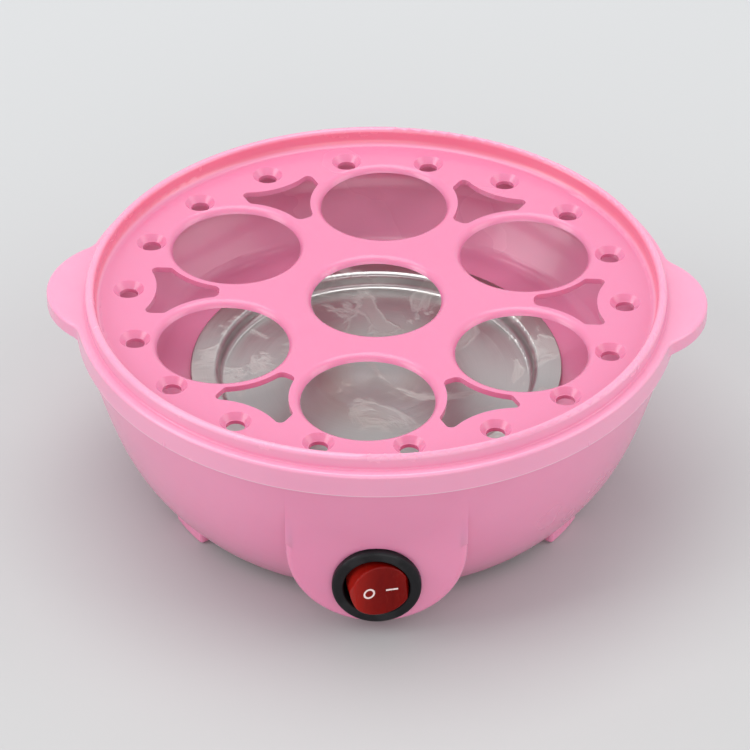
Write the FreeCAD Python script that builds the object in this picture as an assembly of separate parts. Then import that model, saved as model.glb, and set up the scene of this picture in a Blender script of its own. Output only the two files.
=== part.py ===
"""Electric egg cooker: a round plastic bowl with a rocker switch on the front, a heating plate
in the basin inside it, and an egg tray that lifts off by two ears.

Frame: millimetres, origin on the floor at the middle of the base, +Z up, front (switch)
towards -Y, ears along X.
"""
import FreeCAD, Part
import math
import os

V = FreeCAD.Vector
X, Y, Z = V(1, 0, 0), V(0, 1, 0), V(0, 0, 1)

# ---------------------------------------------------------------- driving dimensions
SKIRT_RADIUS = 79.8          # outside of the tray's skirt, the widest round
TRAY_TOP = 60.0              # top of the tray's lip above the floor
EAR_OUT = 8.0                # how far each ear stands out from the skirt
WELL_PITCH = 45.0            # each outer egg well from the middle, and from its neighbours
PLATE_RADIUS = 50.0          # heating plate over its flange
SWITCH_HOLE = 10.1           # radius of the round panel hole
CORD_RADIUS = 3.3            # radius of the mains cord that the gland takes

# walls and clearances
WALL = 2.2                   # base shell
TRAY_WALL = 1.6
SKIRT_WALL = 1.5
SKIRT_GAP = 0.4              # skirt to bowl
SLIP = 0.2                   # parts that drop into each other
RUN = 0.08                   # running fit, radial
OVERRUN = 5.0                # how far a cutting tool passes the face that it cuts

# ---------------------------------------------------------------- egg tray
TRAY_TURN = -2.8             # the loose tray sits turned by this much, degrees
LIP_WALL = 2.4
LEDGE_WIDE = 2.8             # flat ledge outside the lip, which the lid stands on
LIP_OUT = SKIRT_RADIUS - LEDGE_WIDE
LIP_IN = LIP_OUT - LIP_WALL
LEDGE_DROP = 3.9
FLOOR_DROP = 4.8
LEDGE_TOP = TRAY_TOP - LEDGE_DROP
FLOOR_TOP = TRAY_TOP - FLOOR_DROP
LIP_ROUND = 1.1              # top of the lip
LIP_FOOT = 2.0               # hollow corner between the floor and the lip
CRISP = 0.5                  # small roundings all over
FLOOR_UNDER = FLOOR_TOP - TRAY_WALL
SKIRT_HEIGHT = 6.7
SKIRT_BOTTOM = LEDGE_TOP - SKIRT_HEIGHT
SKIRT_IN = SKIRT_RADIUS - SKIRT_WALL

WELLS_ROUND = 6
WELL_MOUTH = 19.5            # radius where a well's lip leaves the tray's floor
WELL_BORE = 14.2             # radius of a well's open bottom
WELL_DEPTH = 5.6
WELL_EDGE = 2.2              # roundness of a well's lip

STEAM_HOLES = 18
STEAM_EDGE = 8.6             # each hole's middle from the inside of the lip
STEAM_CIRCLE = LIP_IN - STEAM_EDGE
STEAM_HOLE = 2.5
STEAM_STEP = 0.2             # narrow ledge between the hole and its funnel
DIMPLE_RADIUS = 4.1          # top of the funnel round each hole
DIMPLE_DEPTH = 1.6
DIMPLE_WALL = 1.1            # walls of the little cup that the funnel makes underneath

VENT_APEX = 41.8             # triangular steam vents: nearest point to the middle
VENT_OUTER = 58.6            # and middle of the outer side
VENT_OUTER_ARC = 20.0
VENT_HALF_WIDTH = 10.6
VENT_LAND = 0.8              # floor left between a vent and the mouth of a well
VENT_TO_WELL = WELL_MOUTH + VENT_LAND
VENT_CORNER = 1.5
VENT_APEX_ROUND = 2.1

EAR_ROUND = 23.0
EAR_THICK = 4.0
EAR_CENTRE = SKIRT_RADIUS + EAR_OUT - EAR_ROUND
EAR_BLEND = 6.0              # hollow corner where an ear leaves the skirt
EAR_EDGE = 0.9               # rounding of the upper edge, skirt and ears alike
EAR_SKIN = 1.8               # walls of the ear, which is hollow underneath

PIP_ANGLES = (-132.5, -47.5, 47.5, 132.5)
PIP_RADIUS = 0.55
PIP_HEIGHT = 2.4
PIP_EDGE = 0.6               # pips start above the skirt's rounded edge

# ---------------------------------------------------------------- base shell
RIM_RADIUS = SKIRT_IN - SKIRT_GAP
BASIN_TOP = FLOOR_UNDER                 # the tray's floor rests on the basin's flange
FLANGE = 1.8
RIM_TOP = BASIN_TOP - FLANGE
BASE_UNDER = 3.2                        # underside of the bowl above the floor
BASE_FLOOR = BASE_UNDER + WALL
SHOULDER_GAP = 0.8                      # skirt's lower edge above the bowl's shoulder
SHOULDER_STEP = 0.2
BOWL_SHOULDER = SKIRT_BOTTOM - SHOULDER_GAP
BOWL_RADIUS = RIM_RADIUS + SHOULDER_STEP
TOP_SLOPE = 0.22                        # how fast the bowl narrows at the top
TOP_PULL = 26.5                         # and for how far it keeps to that
LOW_SLOPE = 0.87                        # the same at the bottom
LOW_PULL = 10.5
TURN_UNDER = 0.7                        # rise of the bowl's bottom corner
FOOT_ANGLES = (-32.0, 32.0, 148.0, 212.0)
FOOT_SPAN = 13.0
FOOT_PROUD = 0.2
FOOT_WIDE = 4.6
FOOT_RISE = 6.0
FOOT_EDGE = 1.2
SLOT_COUNT = 10
SLOT_LENGTH = 14.0
SLOT_WIDE = 2.6
SLOT_CIRCLE = 24.0

# switch boss on the front
SWITCH_PROUD = 4.258                    # flat face of the boss in front of the bowl beside it
SWITCH_LIFT = 0.4                       # switch barrel above the shell's floor
SWITCH_HEIGHT = BASE_FLOOR + SWITCH_LIFT + SWITCH_HOLE - SLIP
BOSS_HALF = 23.2                        # radius of its round lower end, and half its width
BOSS_LOW = 2.3
BOSS_WIDEST = BOSS_LOW + BOSS_HALF
BOSS_HIDE = 5.0                         # its square top end is inside the bowl, this far under the rim
BOSS_TOP = RIM_TOP - BOSS_HIDE
BOSS_INSIDE = 8.3                       # where boss and gland pad end, inside the bowl's bottom edge
BOSS_EDGE = 1.8
BOSS_BLEND = 38.0                       # hollow blend from the boss's face into the bowl above it

# screw posts that join basin and shell
POST_ANGLES = (50.0, 130.0, 230.0, 310.0)
POST_RADIUS = 5.0
POST_TOP = 12.0
POST_GAP = 0.1                          # post to tower, closed up by the screw
POST_INSIDE = 1.3                       # post to the bowl's bottom edge
TOWER_RADIUS = 3.8
TOWER_GAP = 0.6                         # tower to the clamp ring
TOWER_ROOT = 0.5                        # how far a tower runs up into the basin's floor
SCREW_SHANK = 1.45
SCREW_HEAD = 3.2
SCREW_HEAD_H = 2.2
SCREW_LENGTH = 13.0
SCREW_HEAD_ROUND = 0.7
PILOT = SCREW_SHANK + RUN
SEAT_WEB = 2.4                          # plastic under each screw's head
HEAD_SEAT = POST_TOP - SEAT_WEB
CROSS_LONG = 3.6                        # cross recess
CROSS_WIDE = 0.9

# ---------------------------------------------------------------- basin, plate and heater
BASIN_WALL = 2.0
BASIN_CLEAR = 3.4                       # basin above the switch's barrel
BASIN_UNDER = SWITCH_HEIGHT + SWITCH_HOLE - SLIP + BASIN_CLEAR
BASIN_FLOOR = BASIN_UNDER + BASIN_WALL
FLANGE_WIDE = 4.6                       # flange round the basin's top that carries the tray
BASIN_IN = RIM_RADIUS - FLANGE_WIDE
BASIN_RUN = 11.5                        # width of the basin's sloping side
BASIN_FOOT = BASIN_IN - BASIN_RUN
BASIN_SHOULDER = 8.0                    # upright part of the basin's side
BASIN_BEND = 10.0
BASIN_CORNER = 6.0
SPIGOT = 2.0                            # ring under the flange that centres the basin in the shell
PLATE_LAP = 4.0                         # plate's flange over the basin's hole
OPENING = PLATE_RADIUS - PLATE_LAP
GASKET_NECK = 2.8                       # rubber between the plate's dish and the hole's edge
GASKET_THICK = 1.2
GASKET_INSET = 0.6                      # gasket inside the edge of the plate's flange
PLATE_SHEET = 0.8
PLATE_DISH = OPENING - GASKET_NECK
PLATE_RIM = BASIN_FLOOR + GASKET_THICK + PLATE_SHEET
PLATE_DEPTH = 4.2
PLATE_FLOOR = PLATE_RIM - PLATE_DEPTH
PLATE_BACK = PLATE_FLOOR - PLATE_SHEET
PLATE_BEND_IN = 1.4                     # bends of the sheet
PLATE_BEND_OUT = 2.2
SPREADER_INSET = 11.0                   # spreader inside the plate's dish, clear of the studs
SPREADER_RADIUS = PLATE_DISH - SPREADER_INSET
SPREADER_THICK = 3.4
SPREADER_UNDER = PLATE_BACK - SPREADER_THICK
ELEMENT_INSET = 8.0
ELEMENT_CIRCLE = SPREADER_RADIUS - ELEMENT_INSET
ELEMENT_WIDE = 3.4                      # half the width of the tube
ELEMENT_HIGH = 5.6
ELEMENT_ROUND = 2.4
ELEMENT_GAP = 50.0                      # degrees left open in the C
ELEMENT_LIP = 1.4                       # cast lips on both sides of the tube
ELEMENT_LIP_HIGH = 2.0
ELEMENT_LIP_SPAN = 350.0 - ELEMENT_GAP
PIN_RADIUS = 1.5
PIN_DROP = 5.0
PIN_ANGLE = 6.0                         # pins before the ends of the tube, degrees
BEAD_RADIUS = 2.8
BEAD_HIGH = 3.0
STUD_INSET = 5.2
STUD_CIRCLE = PLATE_DISH - STUD_INSET
STUD_ANGLES = (90.0, 210.0, 330.0)
STUD_RADIUS = 2.0
STUD_LENGTH = 9.0
NUT_ACROSS = 7.0
NUT_THICK = 3.2
CLAMP_THICK = 1.2
CLAMP_TOP = BASIN_UNDER - GASKET_THICK
CLAMP_WIDE = 2.6                        # clamp ring outside the hole's edge
CLAMP_OUT = OPENING + CLAMP_WIDE
CLAMP_IN = PLATE_DISH + 1.0
LUG_DROP = 2.4                          # lug under the plate's back
LUG_TOP = PLATE_BACK - LUG_DROP
LUG_WIDE = 9.0

# the shell's bottom goes round the posts, and the posts round the clamp ring
POST_CIRCLE = CLAMP_OUT + TOWER_GAP + TOWER_RADIUS
FOOT_BOTTOM_RADIUS = POST_CIRCLE + POST_RADIUS + POST_INSIDE
FOOT_OUT = FOOT_BOTTOM_RADIUS + FOOT_PROUD
BOSS_BACK = FOOT_BOTTOM_RADIUS - BOSS_INSIDE


def bowl_poles(inset):
    """Control points of the bowl's side, from the shoulder down to the turned-under bottom edge."""
    top = V(BOWL_RADIUS - inset, 0, BOWL_SHOULDER)
    low = V(FOOT_BOTTOM_RADIUS - inset * 1.2, 0, BASE_UNDER + TURN_UNDER + inset)
    return [top, top - V(TOP_SLOPE, 0, 1) * TOP_PULL, low + V(LOW_SLOPE, 0, 1) * LOW_PULL, low]


def bowl_radius(height):
    """Outside radius of the bowl at one height."""
    curve = Part.BezierCurve()
    curve.setPoles(bowl_poles(0))
    level = Part.makePlane(2 * SKIRT_RADIUS, 2 * SKIRT_RADIUS, V(-SKIRT_RADIUS, -SKIRT_RADIUS, height))
    return curve.toShape().section(level).Vertexes[0].X


SWITCH_FACE = bowl_radius(SWITCH_HEIGHT) + SWITCH_PROUD   # flat face of the boss, towards -Y


THERMOSTAT_RADIUS = 7.6
THERMOSTAT_HIGH = 7.0
THERMOSTAT_CAP = 3.4                    # metal cap, wider than the body below it
THERMOSTAT_STEP = 0.9
THERMOSTAT_FLANGE = (27.0, 8.0, 0.8)
THERMOSTAT_SCREWS = 10.6                # each screw from the middle
THERMOSTAT_BITE = 2.0                   # and how far it goes into the spreader
THERMOSTAT_HEAD = 2.6
THERMOSTAT_HEAD_H = 1.8
TAB_AT = 4.6                            # each tab from the middle
TAB_LONG = 4.8
FUSE_RADIUS = 2.0
FUSE_LENGTH = 11.0
FUSE_Y = 13.0
FUSE_DROP = 0.8                         # fuse to spreader
FUSE_Z = SPREADER_UNDER - FUSE_RADIUS - FUSE_DROP
FUSE_WIRE = 0.5
FUSE_WIRE_OUT = 2.0
CLIP_SHEET = 0.52
CLIP_WIDE = 5.0
CLIP_FOOT = 2.4
CLIP_FOOT_THICK = 0.6

# ---------------------------------------------------------------- rocker switch, in its own frame
# panel face at the origin, -Y outwards, rocker pivots about Z
SWITCH_ROLL = 4.0                       # the switch sits a little turned in its hole
BEZEL_LAP = 1.4                         # bezel over the edge of the hole
BEZEL_RADIUS = SWITCH_HOLE + BEZEL_LAP
BEZEL_THICK = 2.2
BEZEL_EDGE = 1.0
SPOT_FACE = 0.5                         # flat turned round the bezel, where the bowl would stand in its way
BARREL_RADIUS = SWITCH_HOLE - SLIP
BARREL_WALL = 1.35
BARREL_BORE = BARREL_RADIUS - BARREL_WALL
BARREL_LENGTH = 18.0
BARREL_BACK = 1.6
ROCKER_GAP = 0.8                        # upright rocker to barrel, room to tilt in
ROCKER_RADIUS = BARREL_BORE - ROCKER_GAP
ROCKER_SWEEP = BARREL_BORE - SLIP
ROCKER_DISH = 30.0                      # radius of the hollow face
ROCKER_FACE = 4.4                       # face in front of the pivot
ROCKER_REAR = 1.6
DISH_RISE = ROCKER_DISH - math.sqrt(ROCKER_DISH ** 2 - ROCKER_RADIUS ** 2)
ROCKER_FRONT = ROCKER_FACE + DISH_RISE + SLIP   # blank that the hollow face is cut from
ROCKER_TILT = 13.0                      # each way from the middle
PIVOT_DEPTH = 0.9                       # pivot behind the panel face
MARK_AT = 3.0                           # each mark from the pivot
MARK_RING = 1.55
MARK_LINE = 0.5
MARK_DEEP = 0.3
TRUNNION = 1.0
TRUNNION_OUT = 0.9                      # how far each end goes into the barrel's wall
BEARING_IN = 0.5                        # bearings start this far inside the bore
STEM_OUT = 2.4
STEM_IN = 1.5
STEM_END = 6.2
STEM_FRONT = 1.0                        # bottom of the stem's bore, in front of the pivot
PLUNGER_RADIUS = STEM_IN - RUN
PLUNGER_REACH = 9.3                     # pivot to the middle of the plunger's round tip
PLUNGER_BACK = 3.2                      # and to its flat end
SPRING_WIRE = 0.22
SPRING_TURNS = 5
BLADE_THICK = 0.8
ARM_THICK = 0.6
ARM_HALF = 5.6
ARM_WIDE = 3.6
ARM_TILT = 7.0
ARM_GAP = 0.15
ARM_FACE = PIVOT_DEPTH + PLUNGER_REACH + PLUNGER_RADIUS + ARM_GAP
ARM_PIVOT = ARM_FACE + ARM_THICK + BLADE_THICK / 2 + RUN
RIVET = 1.0
RIVET_THICK = 0.25
RIVET_AT = 4.5
BLADE_WIDE = 4.8
BLADE_LENGTH = 8.0
BLADE_SPACING = 5.0
CONTACT_DROP = 1.75
CONTACT_SEAT = ARM_FACE + CONTACT_DROP
PAD_THICK = 0.6
LAMP_RADIUS = 1.25
LAMP_LENGTH = 7.0
LAMP_X = 6.0
LAMP_DEPTH = 7.2
LAMP_WIRE = 0.3

# ---------------------------------------------------------------- cord gland and wiring
GLAND_WALL = 1.7
GLAND_BODY = CORD_RADIUS + GLAND_WALL
GLAND_LAP = 1.8
GLAND_FLANGE = GLAND_BODY + GLAND_LAP
GLAND_FLANGE_THICK = 2.4
GLAND_LENGTH = 11.0
PAD_LAND = 1.8
PAD_RADIUS = GLAND_FLANGE + PAD_LAND
PAD_RISE = 0.2                          # pad above the shell's underside
GLAND_HEIGHT = BASE_UNDER + PAD_RISE + PAD_RADIUS
GLAND_PROUD = 5.057
GLAND_SEAT = bowl_radius(GLAND_HEIGHT) + GLAND_PROUD   # flat pad that the gland's flange rests on
CLAMP_POST = 2.9
CLAMP_ROOM = 2.4                        # cord to each clamp post
CLAMP_SCREWS = CORD_RADIUS + CLAMP_ROOM + CLAMP_POST
CLAMP_SCREW_SHANK = 1.2
CLAMP_SCREW_LENGTH = 9.0
CLAMP_HEAD = 2.4
CLAMP_HEAD_H = 1.6
CLAMP_INSIDE = 21.1                     # clamp inside the gland's seat
CLAMP_BAR_Y = GLAND_SEAT - CLAMP_INSIDE
CLAMP_BAR_END = 3.4                     # bar beyond each screw
CLAMP_BAR_WIDE = 5.0
CLAMP_BAR_THICK = 2.4
CLAMP_BAR_GAP = 0.3                     # bar to the tops of its posts
CLAMP_POST_TOP = GLAND_HEIGHT + CORD_RADIUS - CLAMP_BAR_GAP
BLOCK = (20.0, 10.0, 9.0)
BLOCK_INSIDE = 13.5                     # terminal block inside the clamp
BLOCK_Y = CLAMP_BAR_Y - BLOCK_INSIDE
WAY_SPACING = 9.0
WAY_RADIUS = 1.9
WAY_INSET = 0.5
WAY_SCREW = 1.6
LEAD_RADIUS = 1.1
LEAD_BEND = 3.0
LEAD_GAP = 0.2                          # end of a lead to what it is fixed on
LEAD_RISE = 2.4                         # middle of the leads that lie over the shell's floor
LEAD_SIDE = 24.0                        # how far to the side two of them run
LEAD_TURN = 7.0                         # straight stretch out of the block
LEAD_SWITCH_Y = 9.7                     # straight stretch up to the switch's blades
FUSE_LEAD_X = 12.4

PARTS = {}


# ================================================================ shape helpers
def polar(radius, degrees, z=0.0):
    a = math.radians(degrees)
    return V(radius * math.cos(a), radius * math.sin(a), z)


def cylinder(radius, height, base, axis=Z):
    return Part.makeCylinder(radius, height, base, axis)


def tube(r_in, r_out, z0, z1):
    return cylinder(r_out, z1 - z0, V(0, 0, z0)).cut(cylinder(r_in, z1 - z0, V(0, 0, z0)))


def box(x, y, z, centre):
    return Part.makeBox(x, y, z, centre - V(x / 2, y / 2, z / 2))


def turned(shape, degrees, axis=Z, about=V(0, 0, 0)):
    copy = shape.copy()
    copy.rotate(about, axis, degrees)
    return copy


def round_corner(before, corner, after, radius):
    """Start, middle and end of the arc that rounds one corner of an outline."""
    a = (before - corner).normalize()
    b = (after - corner).normalize()
    half = a.getAngle(b) / 2
    reach = radius / math.tan(half)
    middle = corner + (a + b).normalize() * (radius / math.sin(half))
    nearest = middle + (corner - middle).normalize() * radius
    return corner + a * reach, nearest, corner + b * reach


def outline(corners):
    """Closed wire through (radius, height, rounding) corners in the XZ plane."""
    points = [V(c[0], 0, c[1]) for c in corners]
    arcs = []
    for i, corner in enumerate(corners):
        if corner[2] > 0:
            arcs.append(round_corner(points[i - 1], points[i], points[(i + 1) % len(points)], corner[2]))
        else:
            arcs.append((points[i], None, points[i]))
    edges = []
    for i, (start, middle, end) in enumerate(arcs):
        if middle is not None:
            edges.append(Part.Arc(start, middle, end).toShape())
        following = arcs[(i + 1) % len(arcs)][0]
        if end.distanceToPoint(following) > 1e-6:
            edges.append(Part.makeLine(end, following))
    return Part.Wire(edges)


def lathe(corners):
    """Solid of revolution about Z from (radius, height, rounding) corners."""
    return Part.Face(outline(corners)).revolve(V(0, 0, 0), Z, 360)


def ring_segment(r_in, r_out, z0, z1, middle_angle, span):
    """A stretch of a ring, as a solid between two angles."""
    a0, a1 = middle_angle - span / 2, middle_angle + span / 2
    outer = Part.Arc(polar(r_out, a0, z0), polar(r_out, middle_angle, z0), polar(r_out, a1, z0)).toShape()
    inner = Part.Arc(polar(r_in, a1, z0), polar(r_in, middle_angle, z0), polar(r_in, a0, z0)).toShape()
    ends = [Part.makeLine(polar(r_out, a1, z0), polar(r_in, a1, z0)),
            Part.makeLine(polar(r_in, a0, z0), polar(r_out, a0, z0))]
    wire = Part.Wire([outer, ends[0], inner, ends[1]])
    return Part.Face(wire).extrude(V(0, 0, z1 - z0))


def fuse(shapes):
    return shapes[0].multiFuse(shapes[1:]).removeSplitter()


def hexagon(across, thick, centre):
    corner = across / math.sqrt(3)
    points = [centre + polar(corner, 60 * i) for i in range(7)]
    return Part.Face(Part.makePolygon(points)).extrude(V(0, 0, thick))


def keep(name, shape):
    """Stores one sub-part after testing that it is made of closed solids."""
    assert shape.isValid() and shape.Solids, name
    PARTS[name] = shape if len(shape.Solids) > 1 else shape.Solids[0]


# ================================================================ egg tray
def well_section(offset):
    """Outline of a well's cavity, or of its outside when offset by the wall."""
    top = FLOOR_TOP - offset
    slope = math.atan2(WELL_DEPTH, WELL_MOUTH - WELL_EDGE - WELL_BORE)
    edge = WELL_EDGE + offset
    centre = V(WELL_MOUTH, 0, FLOOR_TOP - WELL_EDGE)
    leave = centre + V(-math.sin(slope), 0, math.cos(slope)) * edge
    half = centre + V(-math.sin(slope / 2), 0, math.cos(slope / 2)) * edge
    run = (leave.z - (FLOOR_TOP - WELL_DEPTH)) / math.tan(slope)
    low = V(leave.x - run, 0, FLOOR_TOP - WELL_DEPTH)
    return V(WELL_MOUTH, 0, top + 2 * offset), half, leave, low


def well_solid(offset, above, below):
    """Solid of revolution under one well outline, from above the floor to below the mouth."""
    start, half, leave, low = well_section(offset)
    roof = start + V(0, 0, above)
    foot = low - V(0, 0, below)
    edges = [Part.makeLine(V(0, 0, foot.z), V(0, 0, roof.z)), Part.makeLine(V(0, 0, roof.z), roof)]
    if above > 0:
        edges.append(Part.makeLine(roof, start))
    edges += [Part.Arc(start, half, leave).toShape(), Part.makeLine(leave, low)]
    if below > 0:
        edges.append(Part.makeLine(low, foot))
    edges.append(Part.makeLine(foot, V(0, 0, foot.z)))
    return Part.Face(Part.Wire(edges)).revolve(V(0, 0, 0), Z, 360)


def well_places():
    return [V(0, 0, 0)] + [polar(WELL_PITCH, 30 + 360 / WELLS_ROUND * i) for i in range(WELLS_ROUND)]


def steam_vent():
    """Cutter of one triangular vent, on the +X side.

    Its sides run round two wells and its outer side bows inwards."""
    tall = TRAY_WALL + 2 * OVERRUN
    low = FLOOR_UNDER - OVERRUN
    depth = VENT_OUTER + VENT_OUTER_ARC - VENT_APEX
    cutter = Part.makeBox(depth, 2 * VENT_HALF_WIDTH, tall, V(VENT_APEX, -VENT_HALF_WIDTH, low))
    cutter = cutter.cut(cylinder(VENT_OUTER_ARC, tall, V(VENT_OUTER + VENT_OUTER_ARC, 0, low)))
    for side in (-30, 30):
        cutter = cutter.cut(cylinder(VENT_TO_WELL, tall, polar(WELL_PITCH, side, low)))
    cutter = max(cutter.Solids, key=lambda s: -s.CenterOfMass.x)
    upright = [e for e in cutter.Edges if abs(e.tangentAt(e.FirstParameter).z) > 0.99]
    apex = [e for e in upright if e.CenterOfMass.x < VENT_APEX + 1]
    cutter = cutter.makeFillet(VENT_APEX_ROUND, apex)
    upright = [e for e in cutter.Edges if abs(e.tangentAt(e.FirstParameter).z) > 0.99]
    corners = [e for e in upright if e.CenterOfMass.x > VENT_OUTER - VENT_HALF_WIDTH / 2]
    return cutter.makeFillet(VENT_CORNER, corners).Solids[0]


def ear_outline(inset, root):
    """Face of one ear on the +X side: a round grip blended by hollow corners into the skirt."""
    far, near = EAR_CENTRE, SKIRT_RADIUS - inset
    radius, blend = EAR_ROUND - inset, EAR_BLEND + inset
    d1, d2 = near + blend, radius + blend
    x = (d1 ** 2 - d2 ** 2 + far ** 2) / (2 * far)
    y = math.sqrt(d1 ** 2 - x ** 2)
    edges = []
    ends = []
    for side in (1, -1):
        centre = V(x, side * y, 0)
        on_skirt = centre * (near / d1)
        on_ear = V(far, 0, 0) + (centre - V(far, 0, 0)) * (radius / d2)
        inwards = ((on_skirt + on_ear) * 0.5 - centre).normalize()
        edges.append(Part.Arc(on_skirt, centre + inwards * blend, on_ear).toShape())
        ends.append((on_skirt, on_ear))
    (skirt_a, ear_a), (skirt_b, ear_b) = ends
    root_a, root_b = skirt_a * (root / near), skirt_b * (root / near)
    edges.append(Part.Arc(ear_a, V(far + radius, 0, 0), ear_b).toShape())
    edges.append(Part.makeLine(skirt_a, root_a))
    edges.append(Part.Arc(root_a, V(root, 0, 0), root_b).toShape())
    edges.append(Part.makeLine(root_b, skirt_b))
    return Part.Face(Part.Wire(Part.__sortEdges__(edges)))


def egg_tray():
    corners = [(0, FLOOR_TOP, 0), (LIP_IN, FLOOR_TOP, LIP_FOOT), (LIP_IN, TRAY_TOP, LIP_ROUND),
               (LIP_OUT, TRAY_TOP, LIP_ROUND), (LIP_OUT, LEDGE_TOP, CRISP), (SKIRT_RADIUS, LEDGE_TOP, 0),
               (SKIRT_RADIUS, SKIRT_BOTTOM, CRISP), (SKIRT_IN, SKIRT_BOTTOM, CRISP / 2),
               (SKIRT_IN, FLOOR_UNDER, 0), (0, FLOOR_UNDER, 0)]
    tray = lathe(corners)
    low = V(0, 0, LEDGE_TOP - EAR_THICK)
    ear = ear_outline(0, SKIRT_IN + SLIP)
    ear = ear.extrude(V(0, 0, EAR_THICK))
    ear.translate(low)
    tray = fuse([tray, ear, turned(ear, 180)])
    brim = [e for e in tray.Edges
            if abs(e.CenterOfMass.z - LEDGE_TOP) < 0.01 and e.BoundBox.ZLength < 0.01
            and e.valueAt(e.FirstParameter).sub(V(0, 0, LEDGE_TOP)).Length > SKIRT_RADIUS - CRISP]
    tray = tray.makeFillet(EAR_EDGE, brim)

    # the ears are hollow underneath
    hollow = ear_outline(EAR_SKIN, SKIRT_IN - EAR_SKIN)
    hollow = hollow.extrude(V(0, 0, EAR_THICK - EAR_SKIN)).cut(cylinder(SKIRT_RADIUS, TRAY_TOP, V(0, 0, 0)))
    hollow.translate(low)
    tray = tray.cut(hollow).cut(turned(hollow, 180))

    # wells
    outside, inside = well_solid(TRAY_WALL, 0, 0), well_solid(0, OVERRUN, OVERRUN)
    places = well_places()
    tray = fuse([tray] + [outside.translated(p) for p in places])
    for place in places:
        tray = tray.cut(inside.translated(place))

    # steam vents between the outer wells, and steam holes in dimples round the edge
    vents = [turned(steam_vent(), 360 / WELLS_ROUND * i) for i in range(WELLS_ROUND)]
    tray = tray.cut(Part.makeCompound(vents))
    cups, funnels = [], []
    for i in range(STEAM_HOLES):
        spot = polar(STEAM_CIRCLE, 360 / STEAM_HOLES * i, FLOOR_TOP - DIMPLE_DEPTH)
        cup_low = spot - Z * DIMPLE_WALL
        cups.append(Part.makeCone(STEAM_HOLE + DIMPLE_WALL, DIMPLE_RADIUS + DIMPLE_WALL,
                                  DIMPLE_DEPTH + DIMPLE_WALL - TRAY_WALL / 2, cup_low))
        funnels.append(Part.makeCone(STEAM_HOLE + STEAM_STEP, DIMPLE_RADIUS, DIMPLE_DEPTH, spot))
        funnels.append(cylinder(STEAM_HOLE, 2 * OVERRUN, spot - Z * OVERRUN))
    tray = fuse([tray] + cups).cut(Part.makeCompound(funnels))

    # pips on the skirt's lower edge
    pips = []
    for angle in PIP_ANGLES:
        spot = polar(SKIRT_RADIUS - PIP_RADIUS / 2, angle - TRAY_TURN, SKIRT_BOTTOM + PIP_EDGE)
        pip = Part.makeCone(PIP_RADIUS, PIP_RADIUS / 4, PIP_HEIGHT, spot)
        pips.append(pip)
    return turned(fuse([tray] + pips), TRAY_TURN)


# ================================================================ bowl shell
def bowl_curve(inset):
    """The bowl's side from the shoulder down to the turned-under bottom edge."""
    poles = bowl_poles(inset)
    curve = Part.BezierCurve()
    curve.setPoles(poles)
    return curve.toShape(), poles[0], poles[-1]


def bowl_body(inset, roof, shoulder, floor):
    """Solid of revolution inside one bowl curve, up to the roof and down to the floor."""
    side, top, low = bowl_curve(inset)
    step = V(shoulder, 0, top.z)
    foot = V(low.x - TURN_UNDER, 0, floor)
    points = [top, step, V(shoulder, 0, roof), V(0, 0, roof), V(0, 0, floor), foot]
    lines = [Part.makeLine(a, b) for a, b in zip(points, points[1:])]
    if low.z - floor > 0.01:
        lines.append(Part.makeLine(foot, low))
    return Part.Face(Part.Wire(Part.__sortEdges__([side] + lines))).revolve(V(0, 0, 0), Z, 360)


def boss_prism(inset, front, back, floor):
    """U-shaped boss behind the switch, between two depths towards the front."""
    half = BOSS_HALF - inset
    top = BOSS_TOP - inset
    start, end = V(half, -front, BOSS_WIDEST), V(-half, -front, BOSS_WIDEST)
    corners = [end, V(-half, -front, top), V(half, -front, top), start]
    edges = [Part.makeLine(a, b) for a, b in zip(corners, corners[1:])]
    edges.append(Part.Arc(start, V(0, -front, BOSS_WIDEST - half), end).toShape())
    prism = Part.Face(Part.Wire(edges)).extrude(V(0, front - back, 0))
    if floor > BOSS_WIDEST - half:
        prism = prism.cut(Part.makeBox(4 * half, 2 * front, floor, V(-2 * half, -2 * front, 0)))
    return prism


def rounded_boss(boss):
    """The boss with its front edge rounded, all but the hidden top."""
    brim = [e for e in boss.Edges
            if abs(e.CenterOfMass.y + SWITCH_FACE) < 0.01 and e.CenterOfMass.z < BOSS_TOP - BOSS_EDGE]
    return boss.makeFillet(BOSS_EDGE, brim)


def hollow_blend(solid, crease, radius):
    """A hollow fillet along the crease, halved until there is room for it."""
    while crease and radius > BOSS_EDGE:
        try:
            return solid.makeFillet(radius, crease)
        except Part.OCCError:
            radius /= 2
    return solid


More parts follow.
